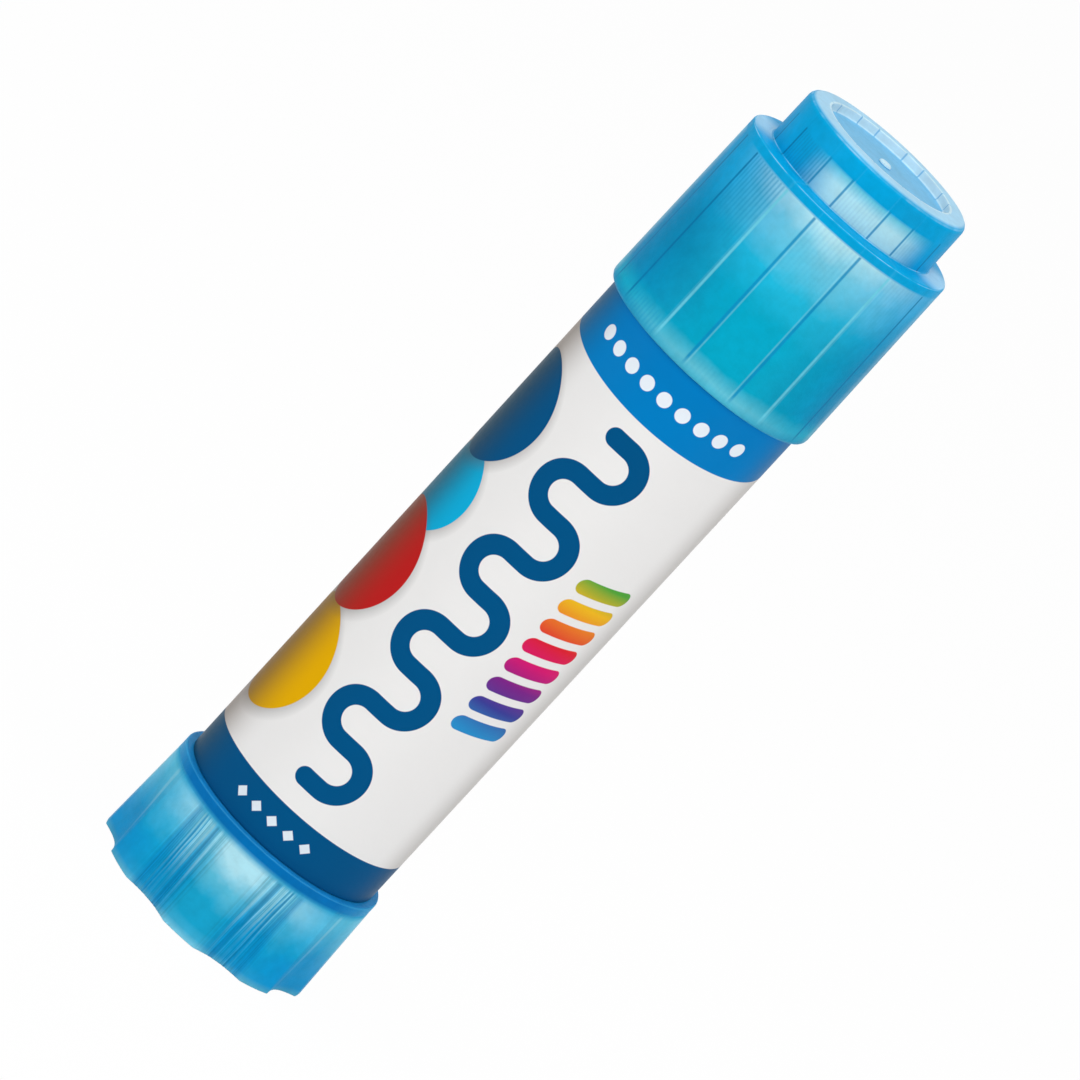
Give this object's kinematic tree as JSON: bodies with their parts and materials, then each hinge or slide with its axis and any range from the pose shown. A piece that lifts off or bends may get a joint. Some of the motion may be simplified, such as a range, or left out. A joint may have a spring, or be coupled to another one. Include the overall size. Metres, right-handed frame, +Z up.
{
  "type": "glue stick",
  "caption": "Twist-up glue stick: stepped translucent pull-off cap, labelled tube, and a scalloped foot knob that turns a screw to raise the glue.",
  "frame": {"origin": "centre of the knob's foot, on the surface that the stick stands on", "axes": "+Z up along the stick's axis towards the cap; -Y is the front of the label"},
  "size_m": [0.0264, 0.0264, 0.1053],
  "materials": {
    "blue_polypropylene": "translucent moulded polypropylene, satin",
    "white_polypropylene": "moulded, satin",
    "printed_film": "printed film with navy, blue and coloured print, satin varnish",
    "natural_polypropylene": "moulded, satin",
    "glue": "smooth waxy solid glue"
  },
  "bodies": {
    "barrel": {"barrel": "white_polypropylene", "label": "printed_film"},
    "knob": {"knob": "blue_polypropylene", "drive_screw": "natural_polypropylene"},
    "carrier": {"carrier": "natural_polypropylene", "glue": "glue"},
    "cap": {"cap": "blue_polypropylene"}
  },
  "joints": [
    {"name": "knob_turn", "type": "hinge", "parent": "barrel", "child": "knob", "pos_m": [0, 0, 0], "axis": [0, 0, 1], "range_deg": [0, 3960]},
    {"name": "glue_rise", "type": "slide", "parent": "barrel", "child": "carrier", "axis": [0, 0, 1], "range_m": [0, 0.066]},
    {"name": "cap_pull", "type": "slide", "parent": "carrier", "child": "cap", "axis": [0, 0, 1], "range_m": [0, 0.03]}
  ],
  "couplings": [
    {"joint": "knob_turn", "follows": "glue_rise", "rad_per_m": 1047.2}
  ]
}
